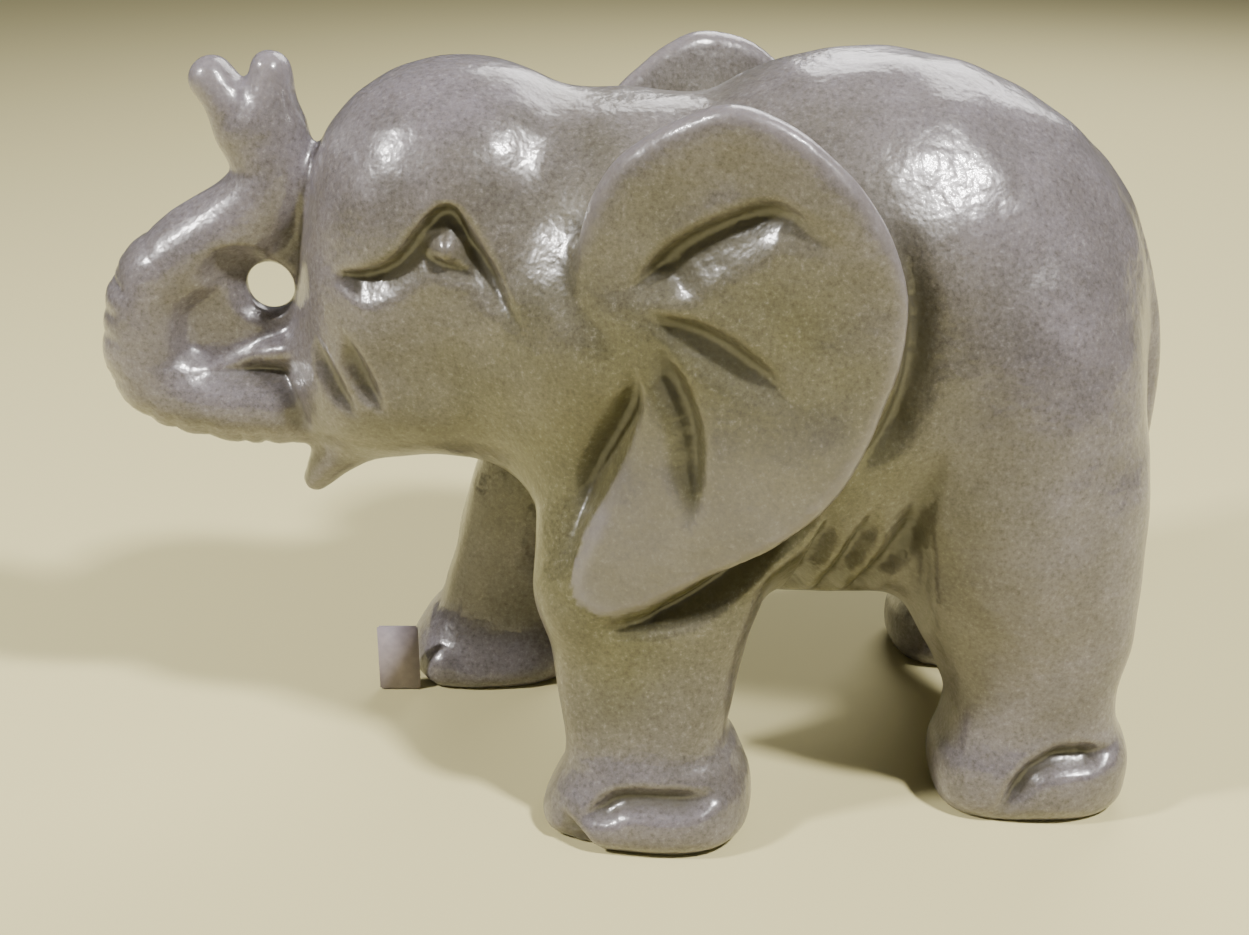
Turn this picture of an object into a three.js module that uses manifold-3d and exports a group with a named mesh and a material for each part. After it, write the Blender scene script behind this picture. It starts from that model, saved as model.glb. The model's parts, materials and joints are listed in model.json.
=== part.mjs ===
// A carved stone elephant that stands on its four feet, with its trunk curled up against the forehead.
// Millimetres, +Z up. The elephant faces -X, so its left side is -Y. The floor is z = 0, and the
// origin is the middle of the footprint. Each named mesh is one carved feature of the block, kept a
// small gap clear of its neighbours, and a blank paper label stands at the toe of the right front foot.
import * as THREE from 'three';
import { mergeVertices } from 'three/addons/utils/BufferGeometryUtils.js';
import Module from 'manifold-3d';

const wasm = await Module();
wasm.setup();

// Driving dimensions
const WIDTH = 39.2;          // over the two ears
const BACK_HEIGHT = 54.2;    // floor to the top of the back
const BELLY_HEIGHT = 14.2;   // floor to the underside of the belly
const GAP = 0.3;             // clearance between neighbouring features
const AROUND = 28;           // sides of a large section
const AROUND_SMALL = 16;     // sides of a small section
const ROUND = 2;             // power of a plain oval section
const FOOT_SQUARENESS = 3;   // power of a foot's rounded-square section
const SIDE = WIDTH / 2;

const HOLE_CENTRE = [-26.9, 37.0];   // the drilled hole inside the trunk's curl, x and z
const HOLE_RADIUS = 1.75;
const WEB_HALF_THICKNESS = 1.9;

const EAR_THICKNESS = 3.4;
const EAR_EDGE_ROUND = 0.8;
const EAR_ROOT_X = -4;
const EAR_LEAN = 4.6;        // how far the rear edge stands out beyond the root

const LABEL_WIDTH = 3.4;
const LABEL_HEIGHT = 5.6;
const LABEL_THICKNESS = 0.5;
const LABEL_Y = 5.45;
const LABEL_FRONT_X = -21.6;

// Turns a closed three.js geometry into a solid, with its faces pointing out.
function solid(geometry) {
  const bare = geometry.clone();
  bare.deleteAttribute('normal');
  bare.deleteAttribute('uv');
  const merged = mergeVertices(bare, 1e-4);
  const mesh = new wasm.Mesh({
    numProp: 3,
    vertProperties: new Float32Array(merged.attributes.position.array),
    triVerts: new Uint32Array(merged.index.array),
  });
  return new wasm.Manifold(mesh);
}

// Closes a stack of equal rings of points into one skin, with a fan at each end.
function skin(rings, ends) {
  const count = rings[0].length;
  const points = rings.flat().concat(ends);
  const first = points.length - 2;
  const last = points.length - 1;
  const index = [];
  for (let ring = 0; ring < rings.length - 1; ring += 1) {
    for (let side = 0; side < count; side += 1) {
      const a = ring * count + side;
      const b = ring * count + (side + 1) % count;
      index.push(a, b, b + count, a, b + count, a + count);
    }
  }
  const top = (rings.length - 1) * count;
  for (let side = 0; side < count; side += 1) {
    const next = (side + 1) % count;
    index.push(first, next, side, last, top + side, top + next);
  }
  const geometry = new THREE.BufferGeometry().setFromPoints(points);
  geometry.setIndex(index);
  return solid(geometry);
}

// One oval section: centre, two unit directions and the half size along each. A power above 2
// squares the oval off.
function oval(centre, across, up, halfAcross, halfUp, sides, power = ROUND) {
  const bend = (value) => Math.sign(value) * Math.abs(value) ** (2 / power);
  const ring = [];
  for (let side = 0; side < sides; side += 1) {
    const angle = 2 * Math.PI * side / sides;
    ring.push(centre.clone()
      .addScaledVector(across, halfAcross * bend(Math.cos(angle)))
      .addScaledVector(up, halfUp * bend(Math.sin(angle))));
  }
  return ring;
}

const X = new THREE.Vector3(1, 0, 0);
const Y = new THREE.Vector3(0, 1, 0);
const Z = new THREE.Vector3(0, 0, 1);

// A body lofted through upright sections: [x, centre y, bottom z, top z, half width].
function barrel(sections, grow = 0) {
  const centres = sections.map(([x, y, low, high]) => new THREE.Vector3(x, y, (low + high) / 2));
  centres[0].x -= grow;
  centres[centres.length - 1].x += grow;
  const rings = sections.map(([, , low, high, half], i) =>
    oval(centres[i], Y, Z, half + grow, (high - low) / 2 + grow, AROUND));
  return skin(rings, [centres[0], centres[centres.length - 1]]);
}

// A leg lofted through level sections: [z, centre x, centre y, half length, half width]. The foot
// is turned in the ground plane by a number of degrees.
function column(sections, degrees) {
  const turn = degrees * Math.PI / 180;
  const along = X.clone().applyAxisAngle(Z, turn);
  const across = Y.clone().applyAxisAngle(Z, turn);
  const centres = sections.map(([z, x, y]) => new THREE.Vector3(x, y, z));
  const rings = sections.map(([, , , half, wide], i) =>
    oval(centres[i], along, across, half, wide, AROUND, FOOT_SQUARENESS));
  return skin(rings, [centres[0], centres[centres.length - 1]]);
}

// A limb swept along a curve in the middle plane: stations of [x, z, half depth, half width].
function limb(stations, grow = 0, steps = 4) {
  const path = new THREE.CatmullRomCurve3(stations.map(([x, z]) => new THREE.Vector3(x, 0, z)));
  const sizes = new THREE.CatmullRomCurve3(
    stations.map(([, , depth, wide]) => new THREE.Vector3(depth, wide, 0)));
  const total = (stations.length - 1) * steps;
  const rings = [];
  const centres = [];
  for (let step = 0; step <= total; step += 1) {
    const t = step / total;
    const along = path.getTangent(t);
    const out = new THREE.Vector3().crossVectors(Y, along).normalize();
    const size = sizes.getPoint(t);
    centres.push(path.getPoint(t));
    rings.push(oval(centres[step], out, Y, size.x + grow, size.y + grow, AROUND_SMALL));
  }
  return skin(rings, [centres[0], centres[total]]);
}

// A plate cut to an outline in the x-z plane, with its middle at y = 0.
function plate(outline, thickness, round, divisions, grow = 0) {
  const curve = new THREE.SplineCurve(outline.concat([outline[0]])
    .map(([x, z]) => new THREE.Vector2(x, z)));
  const shape = new THREE.Shape(curve.getPoints(divisions).slice(0, -1));
  const geometry = new THREE.ExtrudeGeometry(shape, {
    depth: thickness - 2 * round, steps: 1, bevelEnabled: round > 0,
    bevelThickness: round + grow, bevelSize: round, bevelOffset: grow - round, bevelSegments: 2,
  });
  geometry.translate(0, 0, -(thickness - 2 * round) / 2);
  geometry.rotateX(Math.PI / 2);
  return geometry;
}

function box(low, high) {
  const geometry = new THREE.BoxGeometry(high[0] - low[0], high[1] - low[1], high[2] - low[2]);
  geometry.translate((high[0] + low[0]) / 2, (high[1] + low[1]) / 2, (high[2] + low[2]) / 2);
  return solid(geometry);
}

// Torso: the barrel from the neck to the rump.
function torsoShape(grow = 0) {
  return barrel([
    [-8.5, 0, 29, 45, 7.5],
    [-7, 0, 25, 48, 10.5],
    [-3, 0, 20, 50.2, 13],
    [3, 0, 17, 51.2, 14.6],
    [10, 0, 15, 53.4, 15.4],
    [17, 0, BELLY_HEIGHT, BACK_HEIGHT, 16],
    [23, 0, 14.6, 52.9, 16],
    [28, 0, 15.4, 50.4, 15.4],
    [32, 0, 16.4, 47.6, 14],
    [35.3, 0, 17.4, 43.6, 11.6],
    [37.4, 0, 19.6, 38, 8.4],
    [38.4, 0, 23, 32, 4],
  ], grow);
}

// Head: domed forehead, cheeks and jaw, without the trunk and the lip.
function headShape(grow = 0) {
  return barrel([
    [-24.4, 0, 37, 45, 3.6],
    [-23.6, 0, 30, 46.8, 6],
    [-22, 0, 26, 48.3, 8],
    [-19.4, 0, 24.6, 50.8, 9.8],
    [-16, 0, 24.4, 52.9, 11],
    [-12, 0, 24, 53.6, 11.6],
    [-8, 0, 23.4, 53.3, 11.8],
    [-4.5, 0, 23.2, 51.8, 11.6],
    [-2.5, 0, 24, 50.2, 11],
  ], grow);
}

// Trunk: from the mouth forwards, up round the curl, and up the forehead to a two-lobed tip.
function trunkShape(grow = 0) {
  const curl = limb([
    [-23, 28.2, 3.3, 4.2],
    [-28, 28.1, 3.3, 4.1],
    [-33, 28.8, 3.3, 4.0],
    [-36.2, 31, 3.4, 3.9],
    [-36.7, 34.6, 3.3, 3.8],
    [-34.9, 38.2, 3.3, 3.7],
    [-31.4, 41.2, 3.3, 3.5],
    [-28.3, 43.6, 3.1, 3.3],
    [-26.5, 46.8, 3, 3.1],
    [-27, 49.6, 2.7, 2.8],
  ], grow);
  const frontLobe = limb([
    [-27.6, 49, 2, 2.5],
    [-28.8, 51, 1.9, 2.4],
    [-29.6, 52.6, 1.5, 2],
    [-29.9, 53.6, 0.6, 0.9],
  ], grow);
  const rearLobe = limb([
    [-26.9, 49, 2, 2.5],
    [-26.3, 51, 1.8, 2.4],
    [-25.9, 52.8, 1.4, 2],
    [-25.8, 53.9, 0.6, 0.9],
  ], grow);
  return curl.add(frontLobe).add(rearLobe);
}

// Web: the thin wall left inside the curl, with the drilled hole through it.
function webShape() {
  const outline = [[-24, 30], [-30, 30], [-35, 32], [-35, 36], [-31, 40.5], [-27, 44], [-23.5, 44], [-23, 37]];
  return solid(plate(outline, 2 * WEB_HALF_THICKNESS, 0, 32));
}

function drillShape() {
  const drill = new THREE.CylinderGeometry(HOLE_RADIUS, HOLE_RADIUS, 12, 24);
  drill.translate(HOLE_CENTRE[0], 0, HOLE_CENTRE[1]);
  return solid(drill);
}

// Lower lip: a short point that hangs under the root of the trunk.
function lipShape() {
  return limb([
    [-12, 26.5, 3, 4.6],
    [-16.5, 25.6, 2.8, 4.4],
    [-20.5, 24.4, 2.5, 3.6],
    [-23.3, 22.9, 1.8, 2.6],
    [-24.9, 21.4, 0.7, 1.1],
  ]);
}

// Legs: [z, centre x, centre y, half length, half width], from the sole up into the torso.
const frontLeftLeg = [
  [0, 0.6, -13, 6.8, 5.6],
  [1.2, 0.8, -13.2, 7.6, 6.2],
  [3.3, 1.2, -13.1, 7.1, 6.2],
  [6, 1.1, -12.6, 6.2, 5.3],
  [7.6, 0.7, -12.3, 5.95, 4.9],
  [13, 0.8, -11.8, 6.9, 4.7],
  [18, 1.2, -11.6, 8, 4.8],
  [23, 2.2, -11.2, 9.2, 4.6],
  [29, 3, -10.4, 9, 3.6],
];
const frontRightLeg = [
  [0, -12.2, 11, 6.4, 5.6],
  [1.2, -12.2, 11.1, 7.2, 6.3],
  [2.8, -11.9, 11.2, 7.1, 5.8],
  [6, -10.8, 11.5, 5.9, 4.8],
  [8.4, -10.2, 11.5, 5.8, 4.7],
  [13, -8.8, 11.4, 6, 4.6],
  [18, -6.4, 11.2, 7, 4.6],
  [23, -3.4, 10.8, 8, 4.4],
  [29, 0, 10.2, 8.4, 3.6],
];
const rearLeftLeg = [
  [0, 29.4, -9.6, 6.5, 4.9],
  [1.4, 29.5, -9.6, 7.2, 5.7],
  [3.8, 29.6, -9.6, 7.3, 5.7],
  [6.6, 29.5, -9.4, 6.25, 5.1],
  [9, 29.5, -9.4, 6.1, 5],
  [14, 29.7, -9.4, 6.5, 5.2],
  [19, 28.7, -9.4, 7.4, 5.6],
  [25, 27.9, -9, 8.2, 5.6],
  [31, 27.6, -8.4, 7.8, 5],
];
const rearRightLeg = [
  [0, 29.5, 13.8, 6.2, 4.9],
  [1.4, 29.5, 13.8, 7.1, 5.7],
  [3.6, 29.5, 13.5, 7.1, 5.7],
  [6.2, 29.8, 12.9, 6.5, 5.2],
  [9, 29.8, 12.3, 6.2, 5.1],
  [14, 29.6, 11.4, 6.6, 5.3],
  [19, 28.7, 10.6, 7.5, 5.6],
  [25, 27.9, 9.6, 8.2, 5.6],
  [31, 27.6, 8.8, 7.8, 5],
];

// Ear outline in x and z: root, peak, rear edge, and the lobe that hangs on the shoulder.
const earOutline = [
  [-4, 40.5],
  [-2, 48.5],
  [5.5, 53],
  [13, 49],
  [17, 40],
  [13, 28],
  [4, 21],
  [-2, 18],
  [-4.5, 21],
  [0, 32],
  [-1, 37.5],
];

function earShape(side, grow = 0) {
  const geometry = plate(earOutline, EAR_THICKNESS, EAR_EDGE_ROUND, 44, grow);
  const place = geometry.attributes.position;
  const reach = 17 - EAR_ROOT_X;
  for (let i = 0; i < place.count; i += 1) {
    const out = Math.sin(Math.PI / 2 * Math.min(1, Math.max(0, (place.getX(i) - EAR_ROOT_X) / reach)));
    const middle = SIDE - EAR_THICKNESS / 2 - EAR_LEAN * (1 - out);
    place.setY(i, side * middle + place.getY(i));
  }
  return solid(geometry);
}

// Tail: lies in relief down the middle of the rump.
function tailShape() {
  return limb([
    [31, 47, 1.3, 1.6],
    [34.6, 44.4, 1.6, 1.9],
    [36.7, 41, 1.6, 1.9],
    [37.8, 36.6, 1.6, 1.8],
    [38.4, 31, 1.5, 1.7],
    [38.6, 25, 1.4, 1.7],
    [38.2, 20, 1.5, 1.9],
    [37.4, 16.4, 0.7, 0.9],
  ]);
}

function labelShape() {
  const low = [LABEL_FRONT_X, LABEL_Y - LABEL_THICKNESS / 2, GAP];
  const high = [LABEL_FRONT_X + LABEL_WIDTH, LABEL_Y + LABEL_THICKNESS / 2, GAP + LABEL_HEIGHT];
  return box(low, high);
}

// Keeps the largest body of a solid, so that no cut leaves a loose sliver behind.
function main(shape) {
  return shape.decompose().sort((a, b) => b.volume() - a.volume())[0];
}

const group = new THREE.Group();

function addPart(name, shape, material) {
  const mesh = main(shape).getMesh();
  const geometry = new THREE.BufferGeometry();
  geometry.setAttribute('position', new THREE.BufferAttribute(mesh.vertProperties, 3));
  geometry.setIndex(new THREE.BufferAttribute(mesh.triVerts, 1));
  geometry.computeVertexNormals();
  const part = new THREE.Mesh(geometry, material);
  part.name = name;
  group.add(part);
}

const stone = new THREE.MeshStandardMaterial({ color: 0x8f8b83, roughness: 0.22, metalness: 0 });
const paper = new THREE.MeshStandardMaterial({ color: 0xa79bab, roughness: 0.9, metalness: 0 });

const aboveFloor = box([-60, -40, 0], [60, 40, 80]);
const torso = torsoShape();
const torsoRoom = torsoShape(GAP);
const head = headShape().subtract(torsoRoom);
const headRoom = headShape(GAP);
const trunkRoom = trunkShape(GAP);

addPart('torso', torso, stone);
addPart('head', head, stone);
addPart('trunk', trunkShape().add(webShape()).subtract(headRoom).subtract(drillShape()), stone);
addPart('lower_lip', lipShape().subtract(headRoom).subtract(trunkRoom), stone);

const ears = { left_ear: -1, right_ear: 1 };
for (const [name, side] of Object.entries(ears)) {
  addPart(name, earShape(side).subtract(torsoRoom).subtract(headRoom), stone);
}

const earRoom = earShape(-1, GAP).add(earShape(1, GAP));
const legs = {
  front_left_leg: [frontLeftLeg, -9],
  front_right_leg: [frontRightLeg, 6],
  rear_left_leg: [rearLeftLeg, 0],
  rear_right_leg: [rearRightLeg, 0],
};
for (const [name, [sections, degrees]] of Object.entries(legs)) {
  const leg = column(sections, degrees).intersect(aboveFloor);
  addPart(name, leg.subtract(torsoRoom).subtract(headRoom).subtract(earRoom), stone);
}

addPart('tail', tailShape().subtract(torsoRoom), stone);
addPart('blank_label', labelShape(), paper);

export default group;
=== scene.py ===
# %% [markdown]
# # A carved stone elephant
# The real object is a palm-sized elephant cut from one block of soft, jade-like stone and rubbed to
# a wax shine. It strides on four flat soles, curls its trunk up against its forehead and spreads its
# ears. Only a small blank label at one toe is a piece of its own.
#
# This lesson builds it the way a carver would. It heaps up rough masses, melts them into one block,
# pulls the surface to a smooth blended form, and then cuts the folds with knives and gouges.

# %% Load the fixed frame
import math
import json

import bmesh
import bpy
import numpy as np
from mathutils import Matrix, Vector

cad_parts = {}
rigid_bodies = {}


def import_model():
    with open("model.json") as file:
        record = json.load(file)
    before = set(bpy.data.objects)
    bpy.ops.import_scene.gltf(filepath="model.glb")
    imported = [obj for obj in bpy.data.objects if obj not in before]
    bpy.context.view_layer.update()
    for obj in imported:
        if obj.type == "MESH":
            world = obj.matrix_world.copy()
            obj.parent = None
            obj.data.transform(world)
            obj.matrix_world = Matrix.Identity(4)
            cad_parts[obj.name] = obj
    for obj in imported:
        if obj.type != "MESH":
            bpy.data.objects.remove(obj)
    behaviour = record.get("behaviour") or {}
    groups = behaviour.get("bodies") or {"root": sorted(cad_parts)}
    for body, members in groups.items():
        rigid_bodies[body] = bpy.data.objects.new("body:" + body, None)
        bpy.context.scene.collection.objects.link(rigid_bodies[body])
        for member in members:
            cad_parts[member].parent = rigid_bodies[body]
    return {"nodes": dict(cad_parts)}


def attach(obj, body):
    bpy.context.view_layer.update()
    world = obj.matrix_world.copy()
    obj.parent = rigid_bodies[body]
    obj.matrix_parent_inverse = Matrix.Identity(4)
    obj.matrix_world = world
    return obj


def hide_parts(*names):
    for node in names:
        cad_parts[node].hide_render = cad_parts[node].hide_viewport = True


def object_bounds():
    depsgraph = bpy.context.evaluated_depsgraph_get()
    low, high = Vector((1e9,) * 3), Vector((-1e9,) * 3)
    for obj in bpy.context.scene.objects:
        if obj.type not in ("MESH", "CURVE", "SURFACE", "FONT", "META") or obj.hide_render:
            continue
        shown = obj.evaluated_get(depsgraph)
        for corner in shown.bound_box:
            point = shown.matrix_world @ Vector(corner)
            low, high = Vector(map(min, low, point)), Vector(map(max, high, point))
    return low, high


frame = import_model()
cad_low, cad_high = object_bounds()
UNIT = (cad_high.x - cad_low.x) / 80.0
print("frame length in mm:", round((cad_high.x - cad_low.x) * 1000, 2))

# %% [markdown]
# The elephant is drawn on a grid of 80 units from the trunk's curl to the tail, so one unit is one
# millimetre here. It faces -X with its left side at -Y, and the floor is z = 0. Everything is shaped
# in these units, and the finished mesh is multiplied by UNIT at the very end.

# %% Small helpers for numbers
SMALLEST = 1e-9


def ease(t):
    """0 to 1 with a soft start and a soft end."""
    t = np.clip(t, 0.0, 1.0)
    return t * t * (3.0 - 2.0 * t)


def melt(a, b, width):
    """Union of two distance fields with a fillet about as wide as width."""
    h = np.clip(0.5 + 0.5 * (b - a) / width, 0.0, 1.0)
    return b * (1.0 - h) + a * h - width * h * (1.0 - h)


def through(knots, count):
    """Points on a smooth Catmull-Rom curve that passes through every knot."""
    knots = np.asarray(knots, float)
    padded = np.vstack([2 * knots[0] - knots[1], knots, 2 * knots[-1] - knots[-2]])
    place = np.linspace(0.0, len(knots) - 1.0, count)
    i = np.minimum(place.astype(int), len(knots) - 2)
    t = (place - i)[:, None]
    a, b, c, d = (padded[i + k] for k in range(4))
    return 0.5 * (2 * b + (c - a) * t + (2 * a - 5 * b + 4 * c - d) * t ** 2
                  + (3 * b - a - 3 * c + d) * t ** 3)


print("a soft start: a quarter of the way is", float(ease(0.25)))

# %% [markdown]
# ## The masses
# A carver sees an animal as eggs and tapered rods. Each egg below is a centre and three half sizes.
# Pairs are written out once for each side.

# %% Eggs for the torso and the head
TORSO = [
    ((16.4, 0, 34), (21.0, 15.8, 20.1)),      # barrel of the ribs
    ((12, 0, 27.5), (17, 14, 13.4)),          # belly
    ((0.5, 0, 33.5), (11.5, 13.2, 17)),       # chest and shoulders
    ((25.6, 0, 32.6), (10.4, 11.5, 16.6)),    # rump
    ((26.8, 7.6, 26), (9, 8.6, 17)),          # haunches
    ((26.8, -7.6, 26), (9, 8.6, 17)),
    ((-1.3, 8.6, 35.4), (6.8, 6.8, 8.2)),     # roots of the ears
    ((-1.3, -8.6, 35.4), (6.8, 6.8, 8.2)),
    ((-4.0, -12.0, 18.0), (2.2, 3.4, 2.2)),   # knot on the near shoulder
]
HEAD = [
    ((-12.4, 0, 43), (11.2, 10.8, 10.6)),     # domed skull
    ((-16.4, 0, 36.5), (8.2, 9.4, 9)),        # face
    ((-20.4, 0, 30.6), (4.9, 7.0, 6.2)),      # muzzle over the trunk's root
    ((-13.5, 0, 30.4), (9.5, 8.8, 6)),        # jaw
    ((-8, 0, 35.5), (9, 11.4, 11)),           # cheeks
    ((-2, 0, 37), (9, 12.4, 13.2)),           # neck
]
print("eggs:", len(TORSO) + len(HEAD))

# %% [markdown]
# The trunk, the lower lip and the tail are bent, tapering rods. Each is a short row of places along
# its middle line with two half sizes. The trunk's tip splits into two lobes, and a thin web is left
# inside its curl for the drill to go through.

# %% Rods for the trunk, the lip and the tail: x, z, half depth, half width
TRUNK = [
    (-22, 28.3, 3.3, 3.6), (-28, 28.1, 3.4, 3.8), (-32.6, 28.8, 3.4, 3.9), (-35.9, 30.7, 3.6, 3.9),
    (-36.2, 34, 3.3, 3.8), (-35.2, 37.2, 3.3, 3.7), (-32, 39.6, 3.2, 3.6), (-28.6, 41.8, 3.2, 3.4),
    (-26.1, 44.8, 3.0, 3.2), (-26.6, 48, 3.1, 2.9),
]
FRONT_LOBE = [(-28.0, 48.8, 2.2, 2.5), (-29.0, 50.6, 1.75, 2.3), (-30.0, 52.0, 1.6, 1.9)]
REAR_LOBE = [(-26.4, 49.0, 2.4, 2.5), (-26.0, 50.9, 1.8, 2.2), (-25.8, 52.5, 1.5, 1.8)]
SILL = [(-22.5, 33.2, 1.6, 4.5), (-25.6, 32.6, 1.3, 3.4), (-28.6, 32.0, 0.9, 2.3), (-31.4, 31.4, 0.5, 1.0)]
WEB = ((-29.4, 0, 36.6), (7, 1.6, 7.4))
LIP = [(-15, 28, 3, 4.6), (-19.6, 26.4, 2.4, 3.8), (-22.6, 24.2, 1.9, 2.8), (-24.6, 21.7, 1.0, 1.5)]
TAIL = [
    (29, 47.4, 1.2, 1.6), (32.6, 44.9, 1.6, 1.9), (35.0, 41.6, 1.6, 1.9), (36.7, 36.6, 1.6, 1.8),
    (37.6, 31, 1.6, 1.8), (37.5, 25, 1.5, 1.8), (36.8, 20, 1.6, 2.1), (35.6, 16.4, 0.9, 1.2),
]
print("places along the trunk:", len(TRUNK), "and along the tail:", len(TAIL))

# %% [markdown]
# A leg is a column. Its rounded section is given at a few heights, so the sole can flare, the ankle
# can draw in and the thigh can swell into the body without a seam. The legs end inside the body.

# %% Columns for the legs: z, centre x, centre y, half length, half width
LEGS = {
    "front_left": [
        (0, 0.6, -13.0, 6.8, 5.6), (1.2, 0.8, -13.2, 7.6, 6.2), (3.3, 1.2, -13.1, 7.1, 6.2),
        (4.6, 1.3, -12.9, 6.6, 5.8), (6, 1.1, -12.6, 6.2, 5.3), (7.6, 0.7, -12.3, 5.95, 4.9),
        (13, 0.8, -11.8, 6.9, 4.7), (18, 1.2, -11.6, 8, 4.8), (23, 2.2, -11.2, 9.2, 4.6),
        (29, 3, -10.2, 8.4, 3.4), (35, 3, -8, 5, 2),
    ],
    "front_right": [
        (0, -12.2, 11.0, 6.4, 5.6), (1.2, -12.2, 11.1, 7.2, 6.3), (2.8, -11.9, 11.2, 7.1, 5.8),
        (4.4, -11.4, 11.4, 6.6, 5.1), (6, -10.8, 11.5, 5.9, 4.8), (8.4, -10.2, 11.5, 5.8, 4.7),
        (13, -8.8, 11.4, 6, 4.6), (18, -6.4, 11.2, 7, 4.6), (23, -3.4, 10.8, 8, 4.4),
        (29, 0, 10, 7.8, 3.4), (35, 1, 8, 5, 2),
    ],
    "rear_left": [
        (0, 29.4, -9.6, 6.5, 4.9), (1.4, 29.5, -9.6, 7.2, 5.7), (3.8, 29.6, -9.6, 7.3, 5.7),
        (5.2, 29.7, -9.5, 6.8, 5.4), (6.6, 29.5, -9.4, 6.25, 5.1), (9, 29.5, -9.4, 6.1, 5.0),
        (14, 29.7, -9.4, 6.5, 5.2), (19, 28.7, -9.4, 7.4, 5.6), (25, 27.5, -9, 8.0, 5.5),
        (30, 26.6, -8, 6.8, 4.2), (36, 26, -7, 4, 2.2),
    ],
    "rear_right": [
        (0, 29.5, 13.8, 6.2, 4.9), (1.4, 29.5, 13.8, 7.1, 5.7), (3.6, 29.5, 13.5, 7.1, 5.7),
        (6.2, 29.8, 12.9, 6.5, 5.2), (9, 29.8, 12.3, 6.2, 5.1), (14, 29.6, 11.4, 6.6, 5.3),
        (19, 28.7, 10.6, 7.5, 5.6), (25, 27.6, 9.6, 8.0, 5.5), (30, 26.6, 8.4, 6.8, 4.2), (36, 26, 7, 4, 2.2),
    ],
}
LEG_TURN = {"front_left": -9, "front_right": 6, "rear_left": 0, "rear_right": 0}
FOOT_SQUARENESS = 2.8
TOE_BALL = ((-16.2, 6.5, 1.7), (1.6, 1.6, 1.7))
print("legs:", len(LEGS))

# %% [markdown]
# An ear is a leaning slab with a soft rim. Its outline is one closed curve through eleven knots,
# because a carver too would mark only the root, the peak, the rear edge and the hanging lobe.

# %% The ear's outline in x and z
EAR_OUTLINE = [
    (-4, 40.5), (-2, 48.5), (5.5, 53), (13, 49), (17, 40), (13, 28), (4, 21), (-2, 18), (-4.5, 21),
    (0, 32), (-1, 37.5),
]
EAR_SIDE = cad_high.y / UNIT
EAR_RIM = 2.1
EAR_WEDGE = 0.4
EAR_ROOT_X = -4.5
EAR_LENGTH = 17.0
EAR_LEAN = 5.6
LOBE_LIFT = 2.0
CROWN_DROP = 0.6


def ear_line():
    closed = EAR_OUTLINE[-1:] + EAR_OUTLINE + EAR_OUTLINE[:2]
    return through(closed, 8 * (len(closed) - 1) + 1)[8:-8]


print("ear outline:", len(EAR_OUTLINE), "knots,", len(ear_line()), "points")

# %% [markdown]
# Two questions come up for every point near a drawn line: how far away is the line and on which side,
# and does the point lie inside it? The answers shape the ear here and guide the gouge later.

# %% Beside a line and inside it
def segments(line, x, z):
    """Distance from each point to a line, its side (positive on the left) and its place from 0 to 1."""
    start = line[:-1]
    step = line[1:] - start
    length = np.hypot(step[:, 0], step[:, 1]) + SMALLEST
    before = np.concatenate([[0], np.cumsum(length)])[:-1]
    best = np.full(x.shape, 1e9)
    side = np.ones(x.shape)
    place = np.zeros(x.shape)
    for i in range(len(start)):
        dx = x - start[i, 0]
        dz = z - start[i, 1]
        t = np.clip((dx * step[i, 0] + dz * step[i, 1]) / length[i] ** 2, 0.0, 1.0)
        away = np.hypot(dx - t * step[i, 0], dz - t * step[i, 1])
        nearer = away < best
        best = np.where(nearer, away, best)
        side = np.where(nearer, np.sign(step[i, 0] * dz - step[i, 1] * dx + SMALLEST), side)
        place = np.where(nearer, before[i] + t * length[i], place)
    return best, side, place / (before[-1] + length[-1])


def inside(line, x, z):
    """True where a point lies inside a closed line."""
    result = np.zeros(x.shape, bool)
    for (x0, z0), (x1, z1) in zip(line[:-1], line[1:]):
        spans = (z0 > z) != (z1 > z)
        crossing = x0 + (z - z0) / (z1 - z0 + SMALLEST) * (x1 - x0)
        result ^= spans & (x < crossing)
    return result


def ear_face(x, z):
    """How far the ear's outer face stands from the middle plane."""
    out = np.sin(np.pi / 2 * np.clip((x - EAR_ROOT_X) / EAR_LENGTH, 0.0, 1.0))
    lobe = ease((33 - z) / 12) * ease((7 - x) / 10)
    crown = ease((z - 44) / 9)
    return EAR_SIDE - EAR_LEAN * (1 - out) + LOBE_LIFT * lobe * (1 - out) - CROWN_DROP * crown


print("the ear's face stands out at its rear edge by", float(ear_face(12.5, 38.0)))

# %% [markdown]
# ## The distance field
# A distance field says for any point how far it is from the surface. Melting fields together gives
# the soft valleys that sandpaper leaves between two carved masses. Blender's own meshes give the
# surface its points, and the field only tells each point how far to move.

# %% Fields of the single masses
def egg_field(p, centre, half):
    q = (p - np.array(centre)) / np.array(half)
    k0 = np.sqrt((q ** 2).sum(1)) + SMALLEST
    k1 = np.sqrt(((q / np.array(half)) ** 2).sum(1)) + SMALLEST
    return k0 * (k0 - 1.0) / k1


def rod_field(p, stations, pieces=6):
    """Chain of tapered rods whose section is an oval: half depth in x-z, half width in y."""
    line = through(stations, pieces * (len(stations) - 1) + 1)
    best = np.full(len(p), 1e9)
    for a, b in zip(line[:-1], line[1:]):
        d = b[:2] - a[:2]
        t = ((p[:, 0] - a[0]) * d[0] + (p[:, 2] - a[1]) * d[1]) / (d @ d + SMALLEST)
        t = np.clip(t, 0.0, 1.0)
        depth = a[2] + t * (b[2] - a[2])
        wide = a[3] + t * (b[3] - a[3])
        away = np.hypot(p[:, 0] - a[0] - t * d[0], p[:, 2] - a[1] - t * d[1])
        best = np.minimum(best, np.hypot(away, p[:, 1] * depth / wide) - depth)
    return best


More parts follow.
